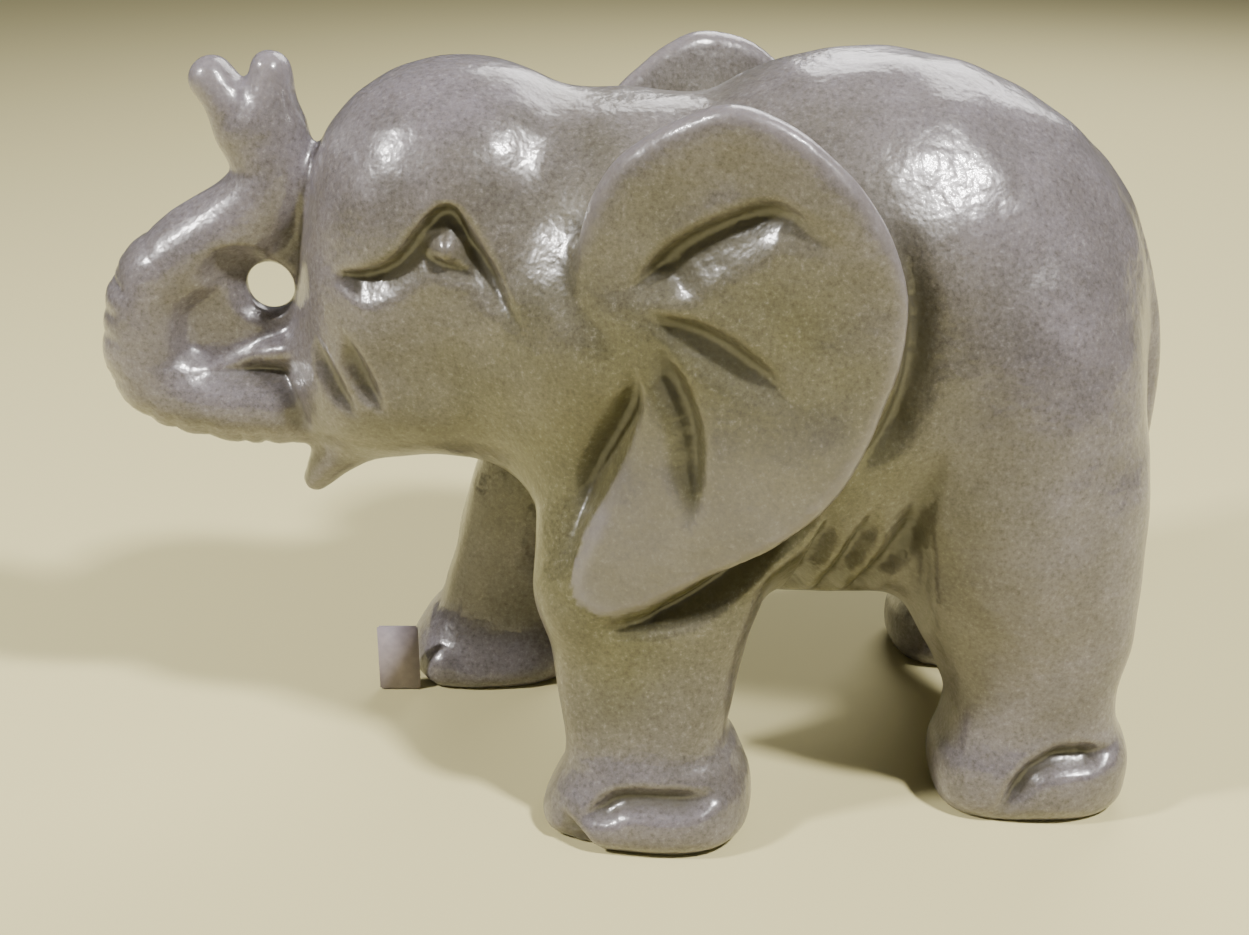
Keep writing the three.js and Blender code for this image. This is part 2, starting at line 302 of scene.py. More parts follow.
def column_field(p, sections, turn=0.0):
    table = np.array(sections, float)
    fine = through(table, 12 * (len(table) - 1) + 1)
    z = np.clip(p[:, 2], fine[0, 0], fine[-1, 0])
    cx, cy, long, wide = (np.interp(z, fine[:, 0], fine[:, i]) for i in range(1, 5))
    n = FOOT_SQUARENESS
    dx, dy = p[:, 0] - cx, p[:, 1] - cy
    cosine, sine = math.cos(math.radians(turn)), math.sin(math.radians(turn))
    along, across = cosine * dx + sine * dy, cosine * dy - sine * dx
    q = ((np.abs(along) / long) ** n + (np.abs(across) / wide) ** n) ** (1 / n)
    round_wall = (q - 1.0) * np.minimum(long, wide)
    ends = np.maximum(fine[0, 0] - p[:, 2], p[:, 2] - fine[-1, 0])
    return np.maximum(round_wall, ends)


def ear_field(p, side, line):
    x, z = p[:, 0], p[:, 2]
    away, _, _ = segments(line, x, z)
    edge = np.where(inside(line, x, z), -away, away)
    thick = EAR_RIM + EAR_WEDGE * np.clip(-edge, 0.0, 7.2)
    middle = ear_face(x, z) - thick / 2
    flat = np.abs(p[:, 1] * side - middle) - thick / 2
    soft = 0.8
    a = edge + soft
    b = flat + soft
    return np.minimum(np.maximum(a, b), 0) + np.hypot(np.maximum(a, 0), np.maximum(b, 0)) - soft


print("egg field at its own centre:", egg_field(np.array([WEB[0]]), *WEB).round(1))

# %% [markdown]
# The masses are melted together with fillets of different widths: wide where muscle runs into muscle,
# narrow where the trunk meets the forehead. The soles are cut flat at the end.

# %% The whole block's field
def near(p, low, high, margin=5.0):
    return np.all((p > np.array(low) - margin) & (p < np.array(high) + margin), axis=1)


def join_near(p, total, low, high, field, width):
    pick = near(p, low, high)
    if pick.any():
        total[pick] = melt(total[pick], field(p[pick]), width)
    return total


HOLE = (-26.9, 37.0)
HOLE_RADIUS = 1.75
EAR_LINE = ear_line()
MUSCLE_FILLET = 3.0
NECK_FILLET = 4.0
EAR_FILLET = 1.2
TRUNK_BOX = ((-40, -5, 24), (-21, 5, 54))
SMALL_MASSES = [
    (egg_field, TOE_BALL, (-20, 3, 0), (-13, 9, 5), 0.6),
    (rod_field, (TAIL,), (28, -3, 14), (40, 3, 50), 0.8),
    (rod_field, (TRUNK,), *TRUNK_BOX, 1.2),
    (rod_field, (FRONT_LOBE,), *TRUNK_BOX, 0.7),
    (rod_field, (REAR_LOBE,), *TRUNK_BOX, 0.7),
    (rod_field, (SILL,), *TRUNK_BOX, 0.9),
    (egg_field, WEB, *TRUNK_BOX, 0.8),
    (rod_field, (LIP,), (-26, -5, 20), (-12, 5, 31), 1.2),
]


def eggs_melted(p, eggs):
    total = egg_field(p, *eggs[0])
    for egg in eggs[1:]:
        total = melt(total, egg_field(p, *egg), MUSCLE_FILLET)
    return total


def block_field(p):
    total = melt(eggs_melted(p, TORSO), eggs_melted(p, HEAD), NECK_FILLET)
    for name, sections in LEGS.items():
        xs = [s[1] for s in sections]
        ys = [s[2] for s in sections]
        low, high = (min(xs) - 9, min(ys) - 7, 0), (max(xs) + 9, max(ys) + 7, 36)
        leg = lambda q: column_field(q, sections, LEG_TURN[name])
        total = join_near(p, total, low, high, leg, MUSCLE_FILLET)
    for kind, shape, low, high, fillet in SMALL_MASSES:
        total = join_near(p, total, low, high, lambda q: kind(q, *shape), fillet)
    for side in (-1, 1):
        low = (-5, min(side * 8, side * 20), 18)
        high = (17, max(side * 8, side * 20), 54)
        total = join_near(p, total, low, high, lambda q: ear_field(q, side, EAR_LINE), EAR_FILLET)
    flare = np.clip(np.abs(p[:, 1]) - 0.5, 0, 3)
    drill = HOLE_RADIUS + 0.75 * flare - np.hypot(p[:, 0] - HOLE[0] + 0.45 * flare, p[:, 2] - HOLE[1])
    total = np.maximum(total, drill)
    return np.maximum(total, -p[:, 2])


print("depth of stone in the middle of the body:", -block_field(np.array([[12.0, 0, 34]])).round(1))

# %% [markdown]
# ## The rough block
# Each mass is made with a bmesh operator: spheres for the eggs, chains of small spheres for the rods,
# bridged rings for the legs and an extruded outline for the ears. A voxel remesh melts the heap into
# one closed skin of even squares.

# %% Rough masses with bmesh
def add_egg(bm, centre, half):
    place = Matrix.Translation(centre) @ Matrix.Diagonal((*half, 1.0))
    bmesh.ops.create_icosphere(bm, subdivisions=4, radius=1.0, matrix=place)


def add_rod(bm, stations, pieces=5):
    for x, z, depth, wide in through(stations, pieces * (len(stations) - 1) + 1):
        place = Matrix.Translation((x, 0, z)) @ Matrix.Diagonal((depth, wide, depth, 1.0))
        bmesh.ops.create_icosphere(bm, subdivisions=3, radius=1.0, matrix=place)


def add_column(bm, sections, turn):
    rings = []
    for z, x, y, long, wide in sections:
        place = Matrix.Translation((x, y, z)) @ Matrix.Rotation(math.radians(turn), 4, "Z") \
            @ Matrix.Diagonal((long, wide, 1.0, 1.0))
        ring = bmesh.ops.create_circle(bm, segments=32, radius=1.0, matrix=place, cap_ends=False)
        rings.append(ring["verts"])
    for a, b in zip(rings[:-1], rings[1:]):
        edges = {e for v in a + b for e in v.link_edges
                 if e.other_vert(v) in a or e.other_vert(v) in b}
        edges = [e for e in edges if (e.verts[0] in a) == (e.verts[1] in a)]
        bmesh.ops.bridge_loops(bm, edges=edges)
    for ring in (rings[0], rings[-1]):
        bmesh.ops.contextual_create(bm, geom=ring)


def add_ear(bm, side):
    verts = [bm.verts.new((x, side * ear_face(np.array(x), np.array(z)), z)) for x, z in EAR_LINE[:-1]]
    face = bm.faces.new(verts)
    to_centre = Matrix.Translation((-6.0, 0, -37.0))
    for thickness, shrink in ((EAR_RIM, 1.0), (1.2, 0.78), (1.2, 0.78), (1.2, 0.7)):
        grown = bmesh.ops.extrude_face_region(bm, geom=[face])
        face = next(f for f in grown["geom"] if isinstance(f, bmesh.types.BMFace))
        bmesh.ops.translate(bm, verts=face.verts, vec=(0, -side * thickness, 0))
        bmesh.ops.scale(bm, verts=face.verts, vec=(shrink, 1, shrink), space=to_centre)
    bmesh.ops.triangulate(bm, faces=[f for f in bm.faces if len(f.verts) > 4])


rough = bmesh.new()
for egg in TORSO + HEAD + [WEB, TOE_BALL]:
    add_egg(rough, *egg)
for rod in (TRUNK, FRONT_LOBE, REAR_LOBE, SILL, LIP, TAIL):
    add_rod(rough, rod)
for name, sections in LEGS.items():
    add_column(rough, sections, LEG_TURN[name])
for side in (-1, 1):
    add_ear(rough, side)
bmesh.ops.recalc_face_normals(rough, faces=rough.faces)
print("rough masses:", len(rough.faces), "faces")

# %% [markdown]
# Modifiers are easier to set than to undo, so each is applied at once. Moving many points is quickest
# when numpy holds them all in one array.

# %% Helpers for meshes
def evaluated(obj):
    """The object's mesh with its modifiers applied, in place of the old mesh."""
    graph = bpy.context.evaluated_depsgraph_get()
    fresh = bpy.data.meshes.new_from_object(obj.evaluated_get(graph))
    old = obj.data
    obj.modifiers.clear()
    obj.data = fresh
    bpy.data.meshes.remove(old)
    return obj


def remesh(obj, voxel):
    mod = obj.modifiers.new("melt", "REMESH")
    mod.mode = "VOXEL"
    mod.voxel_size = voxel
    return evaluated(obj)


def points_of(obj):
    co = np.empty(len(obj.data.vertices) * 3)
    obj.data.vertices.foreach_get("co", co)
    return co.reshape(-1, 3)


def normals_of(obj):
    normal = np.empty(len(obj.data.vertices) * 3)
    obj.data.vertex_normals.foreach_get("vector", normal)
    return normal.reshape(-1, 3)


def move_points(obj, co):
    obj.data.vertices.foreach_set("co", co.ravel())
    obj.data.update()


print("mesh helpers are ready")

# %% [markdown]
# A voxel remesh turns the overlapping heap into one closed skin. The hole inside the curl is then cut
# with a boolean drill, because a remesh alone would leave its rim ragged.

# %% Melt the heap into one skin
ROUGH_VOXEL = 0.5
DRILLED_VOXEL = 0.45
elephant = bpy.data.objects.new("carved_elephant", bpy.data.meshes.new("carved_elephant"))
bpy.context.scene.collection.objects.link(elephant)
rough.to_mesh(elephant.data)
rough.free()

drill_mesh = bmesh.new()
turned = Matrix.Translation((HOLE[0], 0, HOLE[1])) @ Matrix.Rotation(math.pi / 2, 4, "X")
bmesh.ops.create_cone(drill_mesh, cap_ends=True, segments=32, radius1=HOLE_RADIUS, radius2=HOLE_RADIUS,
                      depth=14, matrix=turned)
drill = bpy.data.objects.new("drill", bpy.data.meshes.new("drill"))
bpy.context.scene.collection.objects.link(drill)
drill_mesh.to_mesh(drill.data)
drill_mesh.free()

remesh(elephant, ROUGH_VOXEL)
cut = elephant.modifiers.new("drill", "BOOLEAN")
cut.operation = "DIFFERENCE"
cut.solver = "EXACT"
cut.object = drill
evaluated(elephant)
remesh(elephant, DRILLED_VOXEL)
bpy.data.objects.remove(drill)
print("melted:", len(elephant.data.vertices), "points")

# %% [markdown]
# The skin still shows the creases between the masses. Each point now slides along its normal until it
# lies on the blended field, which rounds every crease into a fillet.

# %% Pull the skin onto the blended form
def settle(obj, rounds, field):
    for _ in range(rounds):
        co = points_of(obj)
        move = np.clip(field(co), -0.6, 0.6)
        move_points(obj, co - normals_of(obj) * (0.85 * move)[:, None])


def relax(obj, rounds, factor):
    bm = bmesh.new()
    bm.from_mesh(obj.data)
    for _ in range(rounds):
        bmesh.ops.smooth_vert(bm, verts=bm.verts, factor=factor,
                              use_axis_x=True, use_axis_y=True, use_axis_z=True)
    bm.to_mesh(obj.data)
    bm.free()
    obj.data.update()


FINE_VOXEL = 0.3
settle(elephant, 5, block_field)
relax(elephant, 2, 0.5)
settle(elephant, 2, block_field)
remesh(elephant, FINE_VOXEL)
settle(elephant, 3, block_field)
print("settled:", len(elephant.data.vertices), "points")

# %% [markdown]
# ## The carved folds
# A gouge leaves one steep wall and one gentle slope. Each cut below is a line in x and z, as seen from
# the elephant's side, drawn so that the steep wall is on its left. After the line come the depth, the
# width of the wall, the width of the slope, and the shares of the line over which the cut fades in and
# fades out. Cuts that both sides share are made twice by a loop.

# %% A shallow arc for a cut
def bow(start, end, sag):
    """Five knots on a shallow arc that swells by sag to the left of the way from start to end."""
    start, end = np.array(start, float), np.array(end, float)
    way = end - start
    left = np.array([-way[1], way[0]]) / np.hypot(*way)
    return [tuple(start + way * t + left * sag * 4 * t * (1 - t)) for t in (0, 0.25, 0.5, 0.75, 1)]


print("a bow:", bow((0, 0), (4, 0), 1)[2])

# %% [markdown]
# An ear has three folds that fan out from its root.

# %% Folds of the ear
EAR_CUTS = {
    "upper fold": ([(-1.5, 40.5), (2.5, 45), (8.5, 47.5), (14, 44)], 1.5, 1.1, 3.2, 0.2, 0.5),
    "middle fold": (bow((0, 40), (11, 33.5), 1.9), 1.15, 1.0, 2.8, 0.2, 0.4),
    "lower fold": (bow((1, 38.5), (3.5, 24), 2.4), 1.3, 0.9, 2.6, 0.2, 0.35),
}
print("ear folds:", len(EAR_CUTS))

# %% [markdown]
# The face has a brow over a half-closed eye, two folds at the mouth and a sill over the trunk.

# %% Folds of the face
FACE_CUTS = {
    "brow": ([(-21.5, 40), (-17, 41.5), (-13, 45.5), (-10.5, 43), (-7, 36.5)], 1.5, 0.6, 2.3, 0.12, 0.35),
    "lower lid": (bow((-14.5, 42), (-10.5, 40.5), 0.2), 0.9, 0.3, 1.3, 0.25, 0.4),
    "first mouth fold": (bow((-23, 35.5), (-19.5, 29), 0.4), 0.9, 0.5, 1.6, 0.4, 0.35),
    "second mouth fold": (bow((-20.5, 36.5), (-17.5, 29.5), 0.4), 0.95, 0.5, 1.6, 0.4, 0.35),
    "sill over the trunk": ([(-34.5, 31), (-30, 31.5), (-26, 31.5), (-24, 29), (-24, 26)],
                            0.65, 0.7, 1.9, 0.45, 0.12),
}
print("face folds:", len(FACE_CUTS))

# %% [markdown]
# The body is undercut round the ear, so that the ear stands off it. Three folds hang before the haunch.
# They are alike, so a loop spaces them.

# %% Folds of the body and the flank
BODY_CUTS = {
    "behind the ear": (bow((14, 27.5), (16, 45.5), -2.2), 1.5, 0.4, 2.8, 0.3, 0.4),
    "under the ear": ([(-3.5, 17), (0.5, 18), (7, 22.5), (14, 29)], 1.9, 0.5, 2.2, 0.35, 0.25),
    "front of the ear": ([(0.5, 37), (0.5, 33), (-2, 27.5), (-4.5, 20.5)], 1.1, 0.5, 2.0, 0.3, 0.35),
}
FLANK_CUTS = {
    f"flank fold {i + 1}": (bow((10 + 2.4 * i, 15), (13 + 3 * i, 26), 0.2), 1.15, 0.9, 1.6, 0.15, 0.35)
    for i in range(3)
}
FLANK_CUTS["before the haunch"] = (bow((21.5, 31), (22, 13.5), -1.0), 0.8, 1.4, 2.4, 0.4, 0.4)
print("body and flank folds:", len(BODY_CUTS) + len(FLANK_CUTS))

# %% [markdown]
# Each foot has one ledge for the toes, and the front feet a notch at the front. The eye is a low bulge.

# %% Toes and eye
FRONT_TOES = {
    "side toe": ([(-4.5, 2.5), (-2, 5), (2, 5.5), (6.5, 5)], 1.1, 0.7, 1.8, 0.2, 0.3),
    "front toe": (bow((-5.5, 3), (-2, -0.5), 0.2), 1.0, 0.5, 2.0, 0.3, 0.1),
}
REAR_TOES = {
    "side toe": ([(26, 0), (27.5, 4.5), (31, 6.5), (35.5, 6)], 1.2, 0.6, 1.9, 0.3, 0.2),
}
EYE = (-13.0, 42.5)
EYE_REACH = (1.5, 1.0)
EYE_HEIGHT = 0.6
print("toe cuts:", len(FRONT_TOES), "front and", len(REAR_TOES), "rear")

# %% [markdown]
# The gouge pushes points inwards beside a line: steeply at the wall, gently on the slope. The cut
# fades at both ends of the line, as the chisel lifts out of the stone.

# %% The gouge
def gouge(co, normal, side, cut, shift=0.0, faces_out=0.2, beyond=6.0, crisp=True, straight=True):
    """Pushes the points beside one cut into the stone, on one side of the elephant."""
    knots, depth, wall, slope, fade_in, fade_out = cut
    line = through(knots, 10 * (len(knots) - 1) + 1) + np.array([shift, 0.0])
    reach = wall + slope
    pick = (normal[:, 1] * side > faces_out) & (co[:, 1] * side > beyond) \
        & (co[:, 0] > line[:, 0].min() - reach) & (co[:, 0] < line[:, 0].max() + reach) \
        & (co[:, 2] > line[:, 1].min() - reach) & (co[:, 2] < line[:, 1].max() + reach)
    away, left, place = segments(line, co[pick, 0], co[pick, 2])
    fade = ease(place / fade_in) * ease((1.0 - place) / fade_out)
    width = 0.45 + 0.55 * fade
    down = -left * away / width
    rise = np.clip((down - wall) / slope, 0.0, 1.0)
    rise = 0.25 * rise ** 2 + 0.75 * ease(rise) if crisp else ease(rise)
    cut_depth = depth * fade * ease(down / wall) * (1.0 - rise)
    if straight:
        co[pick, 1] -= side * cut_depth
    else:
        co[pick] -= normal[pick] * cut_depth[:, None]


def cut_all(cuts, co, normal, side, pick=None, **options):
    """Makes every cut of a table on the points that pick marks."""
    if pick is None:
        pick = np.ones(len(co), bool)
    part = co[pick]
    for cut in cuts.values():
        gouge(part, normal[pick], side, cut, **options)
    co[pick] = part


tables = (EAR_CUTS, FACE_CUTS, BODY_CUTS, FLANK_CUTS, FRONT_TOES, REAR_TOES)
print("cuts on each side:", sum(len(table) for table in tables))

# %% [markdown]
# The tables are worked through on both sides of the elephant. How deep each point was cut is kept as an
# attribute of painted shade, darker in deeper cuts. A painted glow of paler lilac at the ear rims and the
# trunk's tips, and a paler lilac on the lower ear, is kept as one named thin. The finish reads both.

# %% Cut the folds
DISH_DEPTH = 0.9        # how far the ear's face is hollowed
RIGHT_STRIDE = -13.0    # how far ahead the right front foot stands
FULL_SHADE_DEPTH = 1.3         # a cut this deep gets the full painted shade
co = points_of(elephant)
normal = normals_of(elephant)
edge_away, _, _ = segments(EAR_LINE, co[:, 0], co[:, 2])
within = inside(EAR_LINE, co[:, 0], co[:, 2])
on_face = within & (np.abs(co[:, 1]) > ear_face(co[:, 0], co[:, 2]) - 1.2)
dish = DISH_DEPTH * ease((edge_away - 0.9) / 4.5) * ease((co[:, 2] - 27) / 9)
co[on_face, 1] -= (np.sign(co[:, 1]) * dish)[on_face]
uncut = co.copy()
for side in (-1, 1):
    cut_all(EAR_CUTS, co, normal, side, on_face, beyond=11.0)
    cut_all(FACE_CUTS, co, normal, side, beyond=1.6)
    cut_all(BODY_CUTS, co, normal, side, ~within, beyond=4.0, faces_out=0.05)
    cut_all(FLANK_CUTS, co, normal, side, ~within, beyond=4.0, faces_out=0.0, crisp=False, straight=False)
    cut_all(REAR_TOES, co, normal, side, beyond=10.0, straight=False)
for side, shift in ((-1, 0.0), (1, RIGHT_STRIDE)):
    cut_all(FRONT_TOES, co, normal, side, shift=shift, beyond=12.0, straight=False)
# painted shade: each point is coloured darker the deeper it was cut
painted_groove_shade = ease(np.sqrt(((co - uncut) ** 2).sum(1)) / FULL_SHADE_DEPTH)
q = (co[:, [0, 2]] - np.array(EYE)) / np.array(EYE_REACH)
bulge = EYE_HEIGHT * ease(1.3 - np.hypot(q[:, 0], q[:, 1]))
on_eye = (np.abs(co[:, 1]) > 5.0) & (bulge > 0)
co[on_eye, 1] += (np.sign(co[:, 1]) * bulge)[on_eye]
# the raised eye is spared most of the painted shade
painted_groove_shade[on_eye] *= 1.0 - 0.8 * ease(bulge[on_eye] / EYE_HEIGHT)
move_points(elephant, co)
# painted glow: the ear rims and the trunk's tips are marked paler, as light shining through thin stone; the
# lower ear is marked a paler lilac
on_ear = inside(EAR_LINE, co[:, 0], co[:, 2]) & (np.abs(co[:, 1]) > ear_face(co[:, 0], co[:, 2]) - 2.6)
root = ease((4.5 - co[:, 0]) / 3) * ease((co[:, 2] - 24) / 3) * ease((45 - co[:, 2]) / 3)
ear_glow_and_lilac = (0.8 * ease(1.0 - edge_away / 1.3) * (1.0 - root) + 0.6 * ease((38 - co[:, 2]) / 12)) * on_ear
tip_glow = 0.8 * ease((co[:, 2] - 49.5) / 3.0) * (co[:, 0] < -23)
for name, values in (("painted_groove_shade", painted_groove_shade), ("thin", np.clip(ear_glow_and_lilac + tip_glow - painted_groove_shade, 0, 1))):
    mark = elephant.data.attributes.new(name, "FLOAT", "POINT")
    mark.data.foreach_set("value", values)
print("cut:", int((painted_groove_shade > 0.1).sum()), "of", len(painted_groove_shade), "points")

# %% [markdown]
# The trunk's outer edge is nicked into small rings, and hand rubbing leaves the whole surface a
# little uneven. Both are small moves along the surface's own normals.

# %% Rings on the trunk and hand-rubbed unevenness
RING_STEP = 1.9
RING_DEPTH = 0.4
RUB_HEIGHT = 0.07


def ring_trunk(obj):
    co = points_of(obj)
    normal = normals_of(obj)
    line = through(TRUNK, 60)[:, :2]
    length = np.hypot(*np.diff(line, axis=0).T).sum()
    low, high = (-41, -5, 24), (-25, 5, 47)
    pick = near(co, low, high, 0.0)
    away, left, place = segments(line, co[pick, 0], co[pick, 2])
    arc = place * length
    outer = ease((left * away - 0.9) / 1.6)
    notch = np.abs(np.sin(np.pi * arc / RING_STEP + 0.5 * np.sin(arc))) ** 0.6
    ends = ease((arc - 3.0) / 2) * ease((24.5 - arc) / 2)
    deep = RING_DEPTH * (0.75 + 0.25 * np.sin(1.3 * arc))
    co[pick] -= normal[pick] * (deep * (1.0 - notch) * outer * ends)[:, None]
    move_points(obj, co)


def rub(obj, height):
    co = points_of(obj)
    normal = normals_of(obj)
    rng = np.random.default_rng(7)
    wave = np.zeros(len(co))
    for _ in range(14):
        direction = rng.normal(size=3)
        direction /= np.linalg.norm(direction)
        pitch = rng.uniform(3.0, 9.0)
        wave += np.sin(co @ direction * 2 * np.pi / pitch + rng.uniform(0, 2 * np.pi))
    wave *= height / math.sqrt(14)
    wave *= ease(co[:, 2] / 1.5)
    move_points(obj, co + normal * wave[:, None])


relax(elephant, 2, 0.5)
ring_trunk(elephant)
rub(elephant, RUB_HEIGHT)
relax(elephant, 1, 0.3)
print("rings:", RING_DEPTH, "deep, one every", RING_STEP)

# %% [markdown]
# Smooth backs need far fewer triangles than sharp folds. A collapse takes them away where the surface
# is nearly flat, so the folds keep theirs.

# %% Thin out the triangles
MOST_TRIANGLES = 190000


def triangles_of(obj):
    obj.data.calc_loop_triangles()
    return len(obj.data.loop_triangles)


have = triangles_of(elephant)
if have > MOST_TRIANGLES:
    thin = elephant.modifiers.new("thin out", "DECIMATE")
    thin.ratio = MOST_TRIANGLES / have
    evaluated(elephant)
print("thinned out:", have, "to", triangles_of(elephant), "triangles")

# %% [markdown]
# The sole is pressed flat on the floor, the drawing units become metres, and the shading is smoothed.

# %% Scale to metres
co = points_of(elephant)
co[:, 2] = np.maximum(co[:, 2], 0.0)
move_points(elephant, co * UNIT)
for polygon in elephant.data.polygons:
    polygon.use_smooth = True
print("carved:", triangles_of(elephant), "triangles")

# %% [markdown]
# ## The finish
# The stone is a fine-grained marble-like rock, grey with a lilac cast and olive in its heart. Light
# enters it and comes out again a little further on. The ear rims and the trunk's tips get a painted glow
# of paler lilac, the lower ear a paler lilac, and the cuts painted shade. The wax coat breaks each lamp's
# reflection into a cluster of sparks, because the grain shows through it.

# %% Helpers for material nodes
def node(tree, kind, place, **inputs):
    made = tree.nodes.new(kind)
    made.location = place
    for name, value in inputs.items():
        made.inputs[name.replace("_", " ")].default_value = value
    return made


def ramp(tree, place, *stops):
    made = tree.nodes.new("ShaderNodeValToRGB")
    made.location = place
    for element, (where, colour) in zip(made.color_ramp.elements, stops):
        element.position = where
        element.color = colour
    return made


def blend(tree, place, kind, factor, first, second):
    made = tree.nodes.new("ShaderNodeMix")
    made.location = place
    made.data_type = "RGBA"
    made.blend_type = kind
    for socket, value in ((made.inputs[0], factor), (made.inputs[6], first), (made.inputs[7], second)):
        if isinstance(value, bpy.types.NodeSocket):
            tree.links.new(value, socket)
        else:
            socket.default_value = value
    return made.outputs[2]


print("node helpers are ready")

# %% [markdown]
# First the colour. A soft ball of olive sits in the body's middle, and lilac lies outside it.

# %% Colour of the stone
BLACK, WHITE = (0, 0, 0, 1), (1, 1, 1, 1)
LILAC = (0.165, 0.151, 0.160, 1)
OLIVE = (0.108, 0.101, 0.050, 1)
# painted shade for the cuts, and a painted glow of paler lilac for the thin rims, the trunk's tips and the
# lower ear
GROOVE_SHADE = (0.062, 0.056, 0.032, 0.8)
RIM_GLOW_AND_LILAC = (0.235, 0.215, 0.235, 0.6)
stone = bpy.data.materials.new("waxed_stone")
stone.use_nodes = True
tree = stone.node_tree
shader = tree.nodes["Principled BSDF"]
coords = node(tree, "ShaderNodeTexCoord", (-1800, 0)).outputs["Object"]

heart = node(tree, "ShaderNodeMapping", (-1600, 300), Location=(-0.12, 0, -0.95), Scale=(36, 18, 34))
tree.links.new(coords, heart.inputs["Vector"])
drift = node(tree, "ShaderNodeTexNoise", (-1600, 0), Scale=90.0, Detail=3.0)
tree.links.new(coords, drift.inputs["Vector"])
warp = blend(tree, (-1400, 200), "LINEAR_LIGHT", 0.35, heart.outputs[0], drift.outputs["Color"])
globe = tree.nodes.new("ShaderNodeTexGradient")
globe.gradient_type = "SPHERICAL"
globe.location = (-1200, 200)
tree.links.new(warp, globe.inputs["Vector"])
core = ramp(tree, (-1000, 200), (0.02, BLACK), (0.55, WHITE))
tree.links.new(globe.outputs["Fac"], core.inputs[0])
colour = blend(tree, (-700, 200), "MIX", core.outputs[0], LILAC, OLIVE)
print("colour:", len(tree.nodes), "nodes so far")

# %% [markdown]
# Then clouds, fine dark specks and pale sparks in the grain, and the two attributes from the carving:
# painted shade in the cuts and a painted glow of paler lilac at the thin rims.

# %% Clouds, grain, painted shade in the cuts and painted glow at the rims
cloud = node(tree, "ShaderNodeTexNoise", (-1600, -250), Scale=260.0, Detail=4.0)
tree.links.new(coords, cloud.inputs["Vector"])
patches = ramp(tree, (-1300, -250), (0.30, (0.80, 0.79, 0.75, 1)), (0.72, (1.16, 1.15, 1.17, 1)))
tree.links.new(cloud.outputs["Fac"], patches.inputs[0])
colour = blend(tree, (-500, 100), "MULTIPLY", 1.0, colour, patches.outputs[0])

grain = node(tree, "ShaderNodeTexNoise", (-1600, -550), Scale=2900.0, Detail=4.0, Roughness=0.75)
tree.links.new(coords, grain.inputs["Vector"])
specks = ramp(tree, (-1300, -550), (0.30, (0.42, 0.40, 0.36, 1)), (0.52, WHITE))
tree.links.new(grain.outputs["Fac"], specks.inputs[0])
colour = blend(tree, (-300, 50), "MULTIPLY", 0.8, colour, specks.outputs[0])
sparks = ramp(tree, (-1300, -800), (0.56, BLACK), (0.72, WHITE))
tree.links.new(grain.outputs["Fac"], sparks.inputs[0])
colour = blend(tree, (-100, 0), "ADD", 0.09, colour, sparks.outputs[0])
# the painted glow at thin rims and the painted shade in the cuts are mixed into the colour here
for name, place, tint in (("thin", (-100, 400), RIM_GLOW_AND_LILAC), ("painted_groove_shade", (100, 400), GROOVE_SHADE)):
    mark = tree.nodes.new("ShaderNodeAttribute")
    mark.attribute_name = name
    mark.location = place
    part = tree.nodes.new("ShaderNodeMath")
    part.operation = "MULTIPLY"
    part.location = (place[0], 250)
    part.inputs[1].default_value = tint[3]
    tree.links.new(mark.outputs["Fac"], part.inputs[0])
    colour = blend(tree, (place[0], 0), "MIX", part.outputs[0], colour, (*tint[:3], 1))
tree.links.new(colour, shader.inputs["Base Color"])
print("grain:", len(tree.nodes), "nodes so far")

# %% [markdown]
# The polish is a wax coat over a stone that light enters. The bumps are only the grain under the wax.

# %% Wax, depth and grain
shader.inputs["Roughness"].default_value = 0.3
shader.inputs["IOR"].default_value = 1.55
shader.inputs["Subsurface Weight"].default_value = 0.55
shader.inputs["Subsurface Radius"].default_value = (1.0, 0.9, 0.6)
shader.inputs["Subsurface Scale"].default_value = 0.0016
shader.inputs["Coat Weight"].default_value = 0.5
shader.inputs["Coat Roughness"].default_value = 0.05

pits = node(tree, "ShaderNodeBump", (-300, -500), Strength=0.3, Distance=0.00004)
tree.links.new(grain.outputs["Fac"], pits.inputs["Height"])
swell = node(tree, "ShaderNodeTexNoise", (-1600, -1050), Scale=900.0, Detail=2.0)
tree.links.new(coords, swell.inputs["Vector"])
dents = node(tree, "ShaderNodeBump", (-100, -500), Strength=0.5, Distance=0.0002)
tree.links.new(swell.outputs["Fac"], dents.inputs["Height"])
tree.links.new(pits.outputs[0], dents.inputs["Normal"])
tree.links.new(dents.outputs[0], shader.inputs["Normal"])
tree.links.new(dents.outputs[0], shader.inputs["Coat Normal"])

elephant.data.materials.append(stone)
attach(elephant, "root")
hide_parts(*[name for name in frame["nodes"] if name != "blank_label"])
print("stone finish:", len(tree.nodes), "nodes")

# %% [markdown]
# The label is a scrap of stiff paper that stands at the toe. It has nothing on it. Its edges are bevelled
# a little, since cut paper is never knife-sharp at this size.

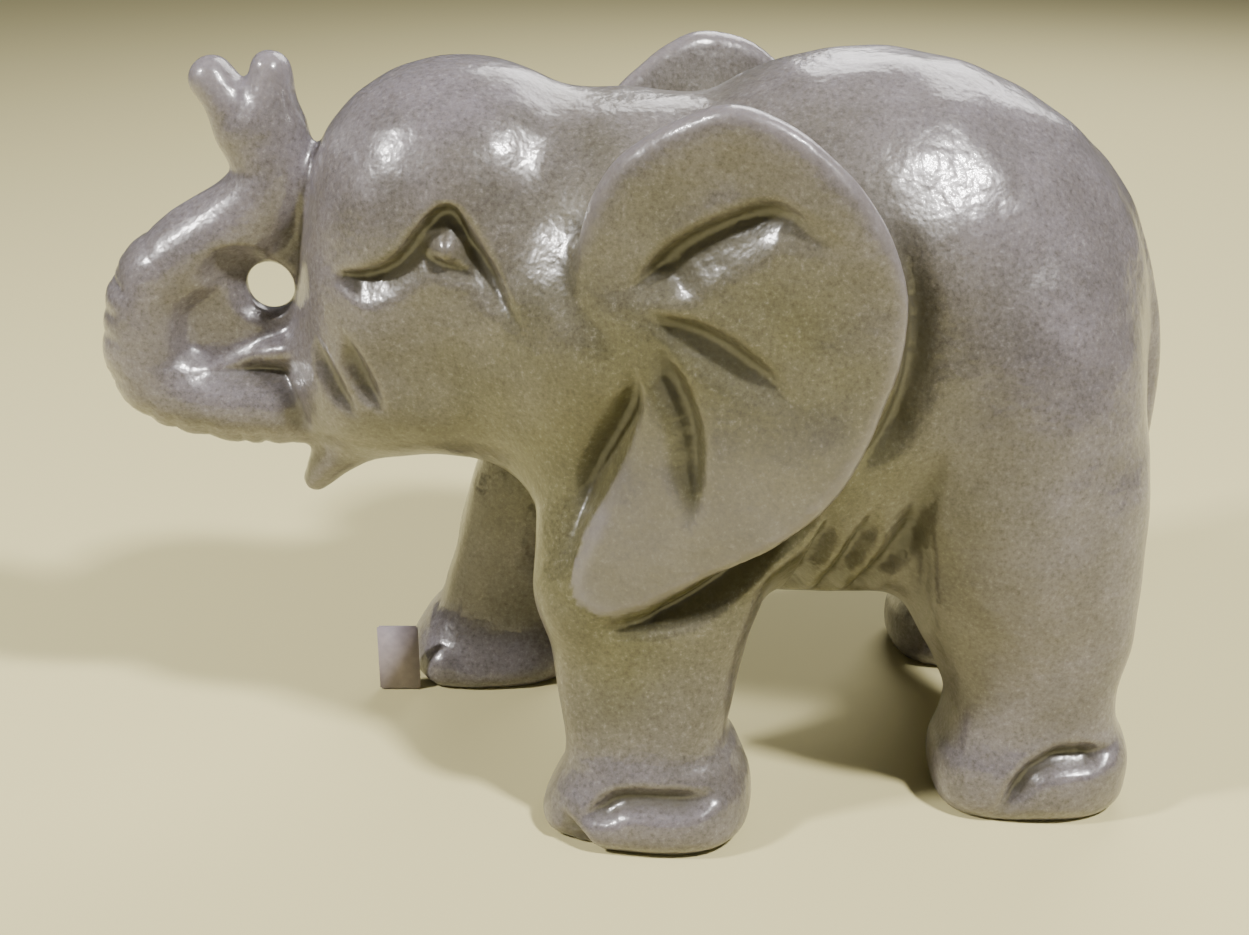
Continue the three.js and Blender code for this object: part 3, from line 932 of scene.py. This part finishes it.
# %% The blank label at the toe
LABEL_LOW = (-21.6, 5.2, 0.0)
LABEL_HIGH = (-18.2, 5.7, 5.9)
label_mesh = bmesh.new()
bmesh.ops.create_cube(label_mesh, size=1.0)
for v in label_mesh.verts:
    v.co = [(low + (c + 0.5) * (high - low)) * UNIT for low, high, c in zip(LABEL_LOW, LABEL_HIGH, v.co)]
bmesh.ops.bevel(label_mesh, geom=label_mesh.edges[:], offset=0.15 * UNIT, segments=3, affect="EDGES")
label = bpy.data.objects.new("blank_paper_label", bpy.data.meshes.new("blank_paper_label"))
label_mesh.to_mesh(label.data)
label_mesh.free()
bpy.context.scene.collection.objects.link(label)
for polygon in label.data.polygons:
    polygon.use_smooth = True
paper = bpy.data.materials.new("paper_in_painted_shade")
paper.use_nodes = True
tree = paper.node_tree
fibre = node(tree, "ShaderNodeTexNoise", (-700, 0), Scale=1500.0, Detail=4.0)
tree.links.new(node(tree, "ShaderNodeTexCoord", (-900, 0)).outputs["Object"], fibre.inputs["Vector"])
# painted shade: the off-white paper is given the grey-lilac tone it has in shadow
shaded_sheet = ramp(tree, (-400, 0), (0.35, (0.31, 0.27, 0.30, 1)), (0.65, (0.37, 0.32, 0.35, 1)))
tree.links.new(fibre.outputs["Fac"], shaded_sheet.inputs[0])
tree.links.new(shaded_sheet.outputs[0], tree.nodes["Principled BSDF"].inputs["Base Color"])
tree.nodes["Principled BSDF"].inputs["Roughness"].default_value = 0.6
label.data.materials.append(paper)
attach(label, "root")
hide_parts("blank_label")
print("label:", len(label.data.polygons), "faces")

# %% [markdown]
# The camera looks down at 22 degrees from the left side, close enough for the near foot to look bigger
# than the far one.

# %% Camera
camera_data = bpy.data.cameras.new("camera")
camera_data.sensor_width = 36.0
camera_data.lens = 49.0
camera_data.clip_start = 0.005
camera = bpy.data.objects.new("camera", camera_data)
camera.location = (-0.9 * UNIT, -121.35 * UNIT, 71.44 * UNIT)
camera.rotation_euler = (math.radians(90 - 22), 0, 0)
bpy.context.scene.collection.objects.link(camera)
bpy.context.scene.camera = camera
print("camera lens:", camera_data.lens, "mm")

# %% [markdown]
# A plain pale floor and three soft lamps. Two small ones make the waxed sparkle on the back and the
# forehead, and a wide dim one behind keeps the far side readable.

# %% Floor and lights
floor_mesh = bmesh.new()
bmesh.ops.create_grid(floor_mesh, x_segments=1, y_segments=1, size=1.0)
floor = bpy.data.objects.new("floor", bpy.data.meshes.new("floor"))
floor_mesh.to_mesh(floor.data)
floor_mesh.free()
bpy.context.scene.collection.objects.link(floor)
paint = bpy.data.materials.new("floor")
paint.use_nodes = True
paint.node_tree.nodes["Principled BSDF"].inputs["Base Color"].default_value = (0.60, 0.55, 0.28, 1)
paint.node_tree.nodes["Principled BSDF"].inputs["Roughness"].default_value = 0.9
floor.data.materials.append(paint)


def lamp(name, place, aim, power, size, colour):
    data = bpy.data.lights.new(name, "AREA")
    data.energy = power
    data.size = size
    data.color = colour
    obj = bpy.data.objects.new(name, data)
    obj.location = place
    obj.rotation_euler = (Vector(aim) - Vector(place)).to_track_quat("-Z", "Y").to_euler()
    bpy.context.scene.collection.objects.link(obj)


lamp("key", (0.18, -0.16, 0.34), (0, 0, 0.03), 2.7, 0.035, (1.0, 0.97, 0.95))
lamp("fill", (-0.26, -0.10, 0.26), (0, 0, 0.03), 1.6, 0.035, (1.0, 0.97, 0.95))
lamp("back", (0.12, 0.30, 0.28), (0, 0, 0.03), 1.2, 0.25, (1.0, 0.97, 0.95))
world = bpy.data.worlds.new("studio")
world.use_nodes = True
world.node_tree.nodes["Background"].inputs["Color"].default_value = (0.8, 0.78, 0.75, 1)
world.node_tree.nodes["Background"].inputs["Strength"].default_value = 0.16
bpy.context.scene.world = world
